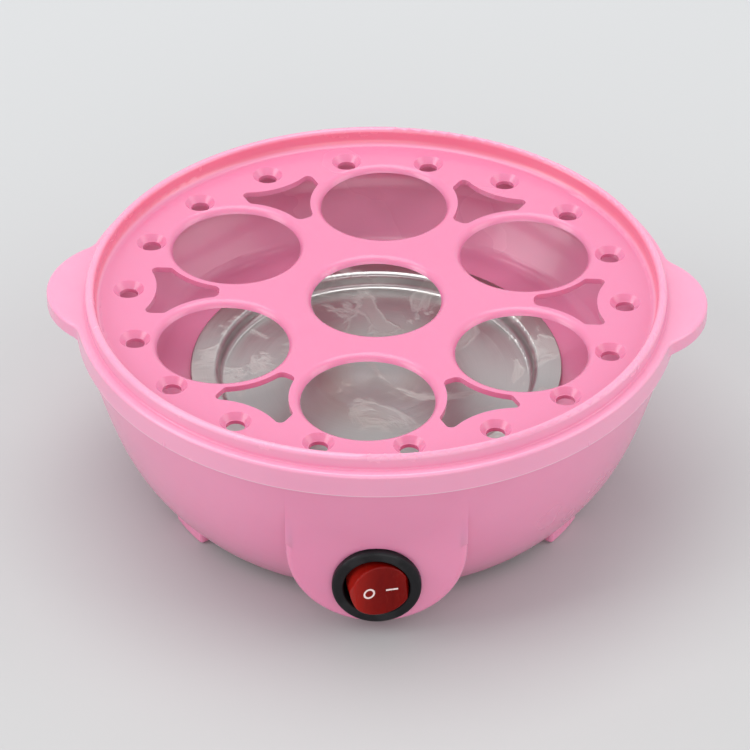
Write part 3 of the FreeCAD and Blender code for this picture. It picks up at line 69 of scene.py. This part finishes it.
# ---------------------------------------------------------------- node maths
class Signal:
    """One shader socket. Arithmetic on signals and numbers adds Math nodes."""

    def __init__(self, finish, socket):
        self.finish = finish
        self.socket = socket

    def math(self, operation, *others, clamp=False):
        settings = {"operation": operation, "use_clamp": clamp}
        return self.finish.make("ShaderNodeMath", settings, dict(enumerate((self,) + others)))

    def swapped(self, operation, other):
        return self.finish.make("ShaderNodeMath", {"operation": operation}, {0: other, 1: self})

    def __add__(self, other):
        return self.math("ADD", other)

    def __sub__(self, other):
        return self.math("SUBTRACT", other)

    def __mul__(self, other):
        return self.math("MULTIPLY", other)

    def __pow__(self, other):
        return self.math("POWER", other)

    def __abs__(self):
        return self.math("ABSOLUTE")

    def __radd__(self, other):
        return self.math("ADD", other)

    def __rmul__(self, other):
        return self.math("MULTIPLY", other)

    def __rsub__(self, other):
        return self.swapped("SUBTRACT", other)

    def clamped(self):
        return self.math("ADD", 0.0, clamp=True)

    def between(self, low, high):
        """0 below low, 1 above high, smooth between; with low above high it falls instead."""
        settings = {"interpolation_type": "SMOOTHSTEP"}
        if low < high:
            stretch = {0: self, 1: low, 2: high, 3: 0.0, 4: 1.0}
        else:
            stretch = {0: self, 1: high, 2: low, 3: 1.0, 4: 0.0}
        return self.finish.make("ShaderNodeMapRange", settings, stretch)


class Finish:
    """A material under construction, on one Principled shader."""

    def __init__(self, name, **constants):
        self.material = bpy.data.materials.new(name)
        self.material.use_nodes = True
        self.tree = self.material.node_tree
        self.shader = self.tree.nodes["Principled BSDF"]
        for socket, value in constants.items():
            self.shader.inputs[socket.replace("_", " ")].default_value = value
        self.place = self.make("ShaderNodeTexCoord", {}, {}, "Object")

    def make(self, kind, settings, inputs, output=0):
        """Adds a node: its settings first, then values or links into its sockets; gives back one output."""
        node = self.tree.nodes.new(kind)
        for name, value in settings.items():
            setattr(node, name, value)
        for name, value in inputs.items():
            if isinstance(value, Signal):
                self.tree.links.new(value.socket, node.inputs[name])
            else:
                node.inputs[name].default_value = value
        return Signal(self, node.outputs[output])

    def feed(self, socket, signal):
        self.tree.links.new(signal.socket, self.shader.inputs[socket])

    def stretched(self, scale, turn=(0, 0, 0)):
        return self.make("ShaderNodeMapping", {}, {"Vector": self.place, "Scale": scale, "Rotation": turn})

    def axis(self, name):
        return self.make("ShaderNodeSeparateXYZ", {}, {0: self.place}, name)

    def radius(self):
        """Distance from the cooker's upright centre line, in metres."""
        x, y = self.axis("X"), self.axis("Y")
        return (x * x + y * y) ** 0.5

    def angle(self):
        return self.axis("Y").math("ARCTAN2", self.axis("X"))

    def noise(self, scale, detail=3.0, roughness=0.5, place=None, distortion=0.0):
        inputs = {"Vector": place or self.place, "Scale": scale, "Detail": detail,
                  "Roughness": roughness, "Distortion": distortion}
        return self.make("ShaderNodeTexNoise", {}, inputs)

    def specks(self, scale, size):
        """Small round spots: 1 in the middle of each, 0 between them."""
        spots = self.make("ShaderNodeTexVoronoi", {}, {"Vector": self.place, "Scale": scale}, "Distance")
        return spots.between(size, size * 0.4)

    def mix(self, factor, first, second):
        """First colour where the factor is 0, second where it is 1."""
        inputs = {MIX_FACTOR: factor, MIX_FIRST: first, MIX_SECOND: second}
        return self.make("ShaderNodeMix", {"data_type": "RGBA"}, inputs, MIX_RESULT)

    def bump(self, height, strength, painted_back_light, under=None):
        inputs = {"Height": height, "Strength": strength, "Distance": painted_back_light}
        if under is not None:
            inputs["Normal"] = under
        return self.make("ShaderNodeBump", {}, inputs)


def rgb(red, green, blue):
    return (red, green, blue, 1.0)


def shade(colour, factor):
    return (colour[0] * factor, colour[1] * factor, colour[2] * factor, 1.0)


# ---------------------------------------------------------------- finishes
def hairlines(finish, scale=260.0):
    """Faint scratches in two crossing directions."""
    first = finish.noise(scale, 2.0, 0.6, finish.stretched((1.0, 0.04, 0.3), (0.0, 0.0, 0.5)))
    second = finish.noise(scale, 2.0, 0.6, finish.stretched((0.05, 1.0, 0.3), (0.3, 0.0, -0.4)))
    return (first.between(0.62, 0.72) + second.between(0.63, 0.73)).clamped()


def tray_painted_light_and_shade(finish, tone, height):
    """Painted light and shade on the tray: a deeper floor, partly painted egg shade; a painted warm
    reflection and shade on the lip's inner wall; painted shade in the groove; a painted highlight on the
    skirt's lower edge.
    """
    radius = finish.radius()
    # Deeper floor: partly a deeper rose, partly painted shade of eggs that would sit in the wells.
    floor = radius.between(*FLOOR_RIM) * height.between(*FLOOR_TOP)
    tone = finish.mix(floor * 0.8, tone, rgb(0.71, 0.19, 0.345))
    # Painted reflection and shade: a warm, darker red on the lip's inner wall.
    lip_reflection_shade = radius.between(*LIP_INNER) * radius.between(*LIP_OUTER) * height.between(*LIP_FOOT)
    tone = finish.mix(lip_reflection_shade * height.between(*LIP_CREST) * 0.75, tone, rgb(0.80, 0.16, 0.24))
    # Painted shade in the groove between the lip and the skirt.
    groove_shade = radius.between(*GROOVE_OUTER) * radius.between(*GROOVE_INNER) * height.between(*GROOVE_TOP)
    tone = finish.mix(groove_shade * 0.5, tone, rgb(0.86, 0.20, 0.38))
    # Painted highlight: a pale line along the skirt's lower edge.
    hem_highlight = radius.between(*SKIRT_FACE) * height.between(*SKIRT_HEM)
    return finish.mix(hem_highlight * 0.55, tone, rgb(0.97, 0.78, 0.86))


def pink_plastic(name, colour, glow, wear, extra=None):
    """Glossy moulded polypropylene: milky depth, a faint orange-peel skin and rubbed edges."""
    finish = Finish(name, Subsurface_Weight=0.25, Subsurface_Radius=(0.007, 0.0018, 0.0026),
                    Subsurface_Scale=0.32, IOR=1.49, Coat_Roughness=0.10, Specular_IOR_Level=0.55)
    cloud = finish.noise(24.0, 3.0, 0.5)
    flow = finish.noise(70.0, 2.0, 0.5, finish.stretched((1.0, 1.0, 0.25)), 0.6)
    tone = finish.mix(cloud.between(0.3, 0.7), colour, glow)
    tone = finish.mix(flow.between(0.55, 0.75) * 0.04, tone, shade(colour, 1.12))
    height = finish.axis("Z")
    rubbed = height.between(*wear) * finish.noise(180.0, 3.0, 0.55).between(0.42, 0.72)
    tone = finish.mix(rubbed * 0.03, tone, rgb(0.95, 0.68, 0.78))
    dust = finish.specks(900.0, 0.12) * finish.noise(60.0, 2.0).between(0.5, 0.62)
    tone = finish.mix(dust * 0.12, tone, rgb(0.55, 0.22, 0.30))
    if extra is not None:
        tone = extra(finish, tone, height)
    finish.feed("Base Color", tone)
    finish.feed("Roughness", 0.22 + cloud * 0.08 + rubbed * 0.015)
    finish.feed("Coat Weight", 0.32 - rubbed * 0.03)
    peel = finish.noise(520.0, 2.0, 0.5)
    skin = finish.bump(peel, 0.05, 0.0003)
    finish.feed("Normal", finish.bump(cloud, 0.06, 0.0006, skin))
    return finish.material


def drawn_steel(name):
    """Stainless plate: turned rings, water marks in bands and a browned middle from the heat."""
    finish = Finish(name, Anisotropic=0.35)
    radius = finish.radius()
    turning = finish.make("ShaderNodeCombineXYZ", {}, {"X": radius * 2600.0, "Y": finish.angle() * 0.6})
    rings = finish.noise(1.0, 2.0, 0.7, turning)
    marks = finish.noise(42.0, 5.0, 0.6, distortion=1.5)
    scale_edge = (1.0 - abs(marks - 0.56) * 22.0).clamped()
    film = marks.between(0.5, 0.62)
    tone = finish.mix(rings * 0.5, rgb(0.50, 0.49, 0.48), rgb(0.64, 0.63, 0.62))
    tone = finish.mix(film * 0.12, tone, rgb(0.70, 0.66, 0.60))
    tone = finish.mix(scale_edge * 0.16, tone, rgb(0.80, 0.77, 0.72))
    heat = radius.between(0.034, 0.012) * finish.noise(60.0, 3.0).between(0.35, 0.7)
    tone = finish.mix(heat * 0.35, tone, rgb(0.46, 0.37, 0.28))
    finish.feed("Base Color", tone)
    finish.feed("Metallic", 1.0 - scale_edge * 0.12 - film * 0.04)
    finish.feed("Roughness", 0.24 + rings * 0.14 + film * 0.06 + scale_edge * 0.08)
    skin = finish.bump(rings, 0.10, 0.0002)
    finish.feed("Normal", finish.bump(scale_edge, 0.15, 0.0002, skin))
    return finish.material


def plain_metal(name, colour, roughness, grime=0.25, scale=300.0):
    """Small metal part: tumbled surface with dull patches."""
    finish = Finish(name)
    patch = finish.noise(scale, 4.0, 0.6)
    lines = hairlines(finish, scale * 3.0)
    tone = finish.mix(patch.between(0.35, 0.7), colour, shade(colour, 0.78))
    tone = finish.mix(patch.between(0.6, 0.75) * grime, tone, rgb(0.22, 0.19, 0.16))
    finish.feed("Base Color", tone)
    finish.feed("Metallic", 1.0 - patch.between(0.6, 0.75) * grime)
    finish.feed("Roughness", roughness + patch * 0.18 + lines * 0.08)
    skin = finish.bump(finish.noise(scale * 5.0, 2.0), 0.15, 0.0002)
    finish.feed("Normal", finish.bump(lines, 0.1, 0.0001, skin))
    return finish.material


def dull_moulding(name, colour, roughness, grain, coat=0.0):
    """Rubber, ceramic or matt plastic: fine grain, uneven tone, dust in the low spots."""
    finish = Finish(name, Coat_Roughness=0.3)
    grit = finish.noise(grain, 3.0, 0.6)
    patch = finish.noise(90.0, 3.0, 0.5)
    tone = finish.mix(patch.between(0.3, 0.7), colour, shade(colour, 0.82))
    tone = finish.mix(grit.between(0.6, 0.75) * 0.12, tone, rgb(0.45, 0.42, 0.40))
    finish.feed("Base Color", tone)
    finish.feed("Roughness", roughness + patch * 0.12 - grit * 0.06)
    finish.feed("Coat Weight", coat + grit * 0.05)
    skin = finish.bump(grit, 0.22, 0.0003)
    finish.feed("Normal", finish.bump(patch, 0.08, 0.0005, skin))
    return finish.material


def satin_bezel(name):
    """Black nylon with a fine spark-eroded grain, polished where fingers reach it."""
    finish = Finish(name, IOR=1.5, Specular_IOR_Level=0.18, Coat_Roughness=0.2)
    grit = finish.noise(2200.0, 3.0, 0.6)
    patch = finish.noise(160.0, 3.0, 0.5)
    rub = patch.between(0.45, 0.62)
    tone = finish.mix(rub, rgb(0.0105, 0.0105, 0.0120), rgb(0.017, 0.017, 0.019))
    tone = finish.mix(grit.between(0.62, 0.72) * 0.2, tone, rgb(0.08, 0.08, 0.08))
    finish.feed("Base Color", tone)
    finish.feed("Roughness", 0.42 - rub * 0.10 + grit * 0.08)
    finish.feed("Coat Weight", rub * 0.1)
    skin = finish.bump(grit, 0.16, 0.0001)
    finish.feed("Normal", finish.bump(patch, 0.06, 0.0003, skin))
    return finish.material


def red_lens(name):
    """Clear red polycarbonate, polished, with finger marks, small scratches and painted light on the raised
    side.
    """
    finish = Finish(name, IOR=1.5, Specular_IOR_Level=0.06, Transmission_Weight=0.12, Subsurface_Weight=0.3,
                    Subsurface_Radius=(0.004, 0.0004, 0.0003), Subsurface_Scale=0.6, Coat_Roughness=0.06)
    smear = finish.noise(260.0, 3.0, 0.6, finish.stretched((1.0, 0.5, 0.3)), 0.8)
    lines = hairlines(finish, 900.0)
    tone = finish.mix(smear.between(0.3, 0.75), rgb(0.22, 0.003, 0.0015), rgb(0.16, 0.002, 0.001))
    # painted light: the raised side of the rocker is painted brighter red, as if lit
    raised_side_light = finish.axis("X").between(*RAISED_SIDE_LIGHT)
    tone = finish.mix(raised_side_light * 0.7, tone, rgb(0.50, 0.022, 0.014))
    tone = finish.mix(lines * 0.04, tone, rgb(0.65, 0.12, 0.08))
    finish.feed("Base Color", tone)
    finish.feed("Roughness", 0.10 + smear.between(0.5, 0.8) * 0.12 + lines * 0.10)
    finish.feed("Coat Weight", 0.09 - smear * 0.06)
    finish.feed("Normal", finish.bump(lines, 0.08, 0.0001, finish.bump(smear, 0.05, 0.0002)))
    return finish.material


def printed_white(name):
    """Paint in the marks: slightly uneven, worn thin in spots so that the red shows."""
    finish = Finish(name)
    wear = finish.noise(1600.0, 4.0, 0.6).between(0.56, 0.70)
    tone = finish.mix(wear * 0.35, rgb(0.90, 0.74, 0.72), rgb(0.72, 0.20, 0.16))
    finish.feed("Base Color", tone)
    finish.feed("Roughness", 0.38 + wear * 0.2)
    finish.feed("Normal", finish.bump(wear, 0.2, 0.0001))
    return finish.material


def lamp_glass(name):
    """Thin glass of the neon lamp, with a warm bead of gas and a smoky end."""
    finish = Finish(name, Transmission_Weight=0.85, IOR=1.47, Emission_Strength=0.0)
    smoke = finish.noise(700.0, 3.0, 0.5)
    tone = finish.mix(smoke.between(0.4, 0.7), rgb(0.95, 0.80, 0.70), rgb(0.80, 0.55, 0.42))
    finish.feed("Base Color", tone)
    finish.feed("Roughness", 0.06 + smoke * 0.10)
    finish.feed("Normal", finish.bump(smoke, 0.04, 0.0002))
    return finish.material


def woven_sleeve(name):
    """Braided glass-fibre sleeve over the inner leads."""
    finish = Finish(name, Sheen_Weight=0.2)
    threads = []
    for place in (finish.place, finish.stretched((1.0, -1.0, 1.0))):
        strands = {"Vector": place, "Scale": 900.0}
        threads.append(finish.make("ShaderNodeTexWave", {"bands_direction": "DIAGONAL"}, strands, "Fac"))
    weave = threads[0] * threads[1]
    stain = finish.noise(120.0, 3.0).between(0.5, 0.75)
    tone = finish.mix(weave, rgb(0.62, 0.60, 0.55), rgb(0.86, 0.85, 0.81))
    finish.feed("Base Color", finish.mix(stain * 0.35, tone, rgb(0.66, 0.56, 0.40)))
    finish.feed("Roughness", 0.62 + stain * 0.15)
    finish.feed("Normal", finish.bump(weave, 0.5, 0.0003))
    return finish.material


ROSE = rgb(0.78, 0.255, 0.425)
ROSE_GLOW = rgb(0.81, 0.28, 0.45)
FINISHES = {
    "tray": pink_plastic("pink_tray", rgb(0.80, 0.315, 0.475), rgb(0.83, 0.34, 0.50), TRAY_WEAR, tray_painted_light_and_shade),
    "bowl": pink_plastic("pink_bowl", ROSE, ROSE_GLOW, BOWL_WEAR),
    "basin": pink_plastic("pink_basin", ROSE, ROSE_GLOW, BASIN_WEAR),
    "steel": drawn_steel("drawn_steel"),
    "silicone": dull_moulding("milky_silicone", rgb(0.72, 0.71, 0.68), 0.55, 900.0, 0.05),
    "aluminium": plain_metal("cast_aluminium", rgb(0.62, 0.62, 0.63), 0.42, 0.2, 220.0),
    "sheath": plain_metal("element_sheath", rgb(0.30, 0.28, 0.27), 0.45, 0.5, 260.0),
    "zinc": plain_metal("zinc_plate", rgb(0.66, 0.67, 0.68), 0.30, 0.2),
    "brass": plain_metal("plain_brass", rgb(0.72, 0.50, 0.22), 0.32, 0.3),
    "ceramic": dull_moulding("white_ceramic", rgb(0.80, 0.78, 0.72), 0.7, 1500.0),
    "phenolic": dull_moulding("black_phenolic", rgb(0.035, 0.03, 0.028), 0.45, 1200.0, 0.1),
    "rubber": dull_moulding("black_rubber", rgb(0.018, 0.018, 0.018), 0.62, 1100.0),
    "nylon": dull_moulding("natural_nylon", rgb(0.74, 0.73, 0.68), 0.48, 1300.0, 0.1),
    "bezel": satin_bezel("satin_bezel"),
    "lens": red_lens("red_lens"),
    "mark": printed_white("printed_white"),
    "lamp": lamp_glass("lamp_glass"),
    "sleeve": woven_sleeve("woven_sleeve"),
}
WORN_BY = {
    "tray": ["egg_tray"], "bowl": ["bowl_shell"], "basin": ["water_basin"], "steel": ["heating_plate"],
    "silicone": ["plate_gasket"], "aluminium": ["heat_spreader"], "sheath": ["heating_element"],
    "zinc": ["element_pins", "plate_clamp", "plate_studs", "stud_nuts", "thermostat_screws", "fuse_clip",
             "shell_screws", "cord_clamp_screws", "plunger_spring"],
    "brass": ["thermostat_tabs", "terminal_ways", "switch_blades", "switch_arm"],
    "ceramic": ["element_beads", "thermal_fuse"], "phenolic": ["thermostat"], "rubber": ["cord_gland"],
    "nylon": ["cord_clamp", "terminal_block", "switch_plunger"], "bezel": ["switch_body"],
    "lens": ["switch_rocker"], "mark": ["rocker_mark_off", "rocker_mark_on"], "lamp": ["switch_lamp"],
    "sleeve": ["inner_leads"],
}


def dress(node, material):
    slots = NODES[node].data.materials
    slots.clear()
    slots.append(material)


for finish_name, wearers in WORN_BY.items():
    for wearer in wearers:
        dress(wearer, FINISHES[finish_name])


# ---------------------------------------------------------------- floor, light and camera
def pale_floor():
    bpy.ops.mesh.primitive_plane_add(size=FLOOR_SIZE, location=(0, 0, 0))
    floor = bpy.context.object
    floor.name = "floor"
    finish = Finish("pale_paper")
    cloud = finish.noise(3.0, 3.0)
    near = finish.mix(cloud, rgb(0.475, 0.48, 0.48), rgb(0.50, 0.50, 0.495))
    # painted light: the floor is painted lighter towards the back
    painted_back_light = finish.axis("Y").between(*FLOOR_PAINTED_LIGHT)
    finish.feed("Base Color", finish.mix(painted_back_light, near, rgb(0.565, 0.57, 0.575)))
    finish.feed("Roughness", 0.55 + cloud * 0.1)
    floor.data.materials.append(finish.material)


def soft_light(name, place, target, size, power, colour):
    light = bpy.data.lights.new(name, "AREA")
    light.shape = "RECTANGLE"
    light.size, light.size_y = size
    light.energy = power
    light.color = colour
    lamp = bpy.data.objects.new(name, light)
    lamp.location = place
    lamp.rotation_euler = (Vector(target) - Vector(place)).to_track_quat("-Z", "Y").to_euler()
    bpy.context.scene.collection.objects.link(lamp)


def studio():
    for name, place, size, power, colour in LIGHTS:
        soft_light(name, place, SPOTLIT, size, power, colour)
    world = bpy.data.worlds.new("room")
    world.use_nodes = True
    sky = world.node_tree.nodes["Background"]
    sky.inputs["Color"].default_value = SKY
    sky.inputs["Strength"].default_value = SKY_STRENGTH
    bpy.context.scene.world = world
    bpy.context.scene.view_settings.view_transform = "Standard"


def viewpoint():
    lens = bpy.data.cameras.new("camera")
    lens.lens = LENS_MM
    lens.sensor_width = SENSOR_MM
    lens.clip_end = SIGHT_LIMIT
    camera = bpy.data.objects.new("camera", lens)
    tip = Matrix.Rotation(math.radians(90.0 - CAMERA_DOWN), 4, "X")
    roll = Matrix.Rotation(math.radians(CAMERA_ROLL), 4, "Z")
    camera.matrix_world = Matrix.Translation(Vector(CAMERA_MM) * MM) @ tip @ roll
    bpy.context.scene.collection.objects.link(camera)
    bpy.context.scene.camera = camera


pale_floor()
studio()
viewpoint()
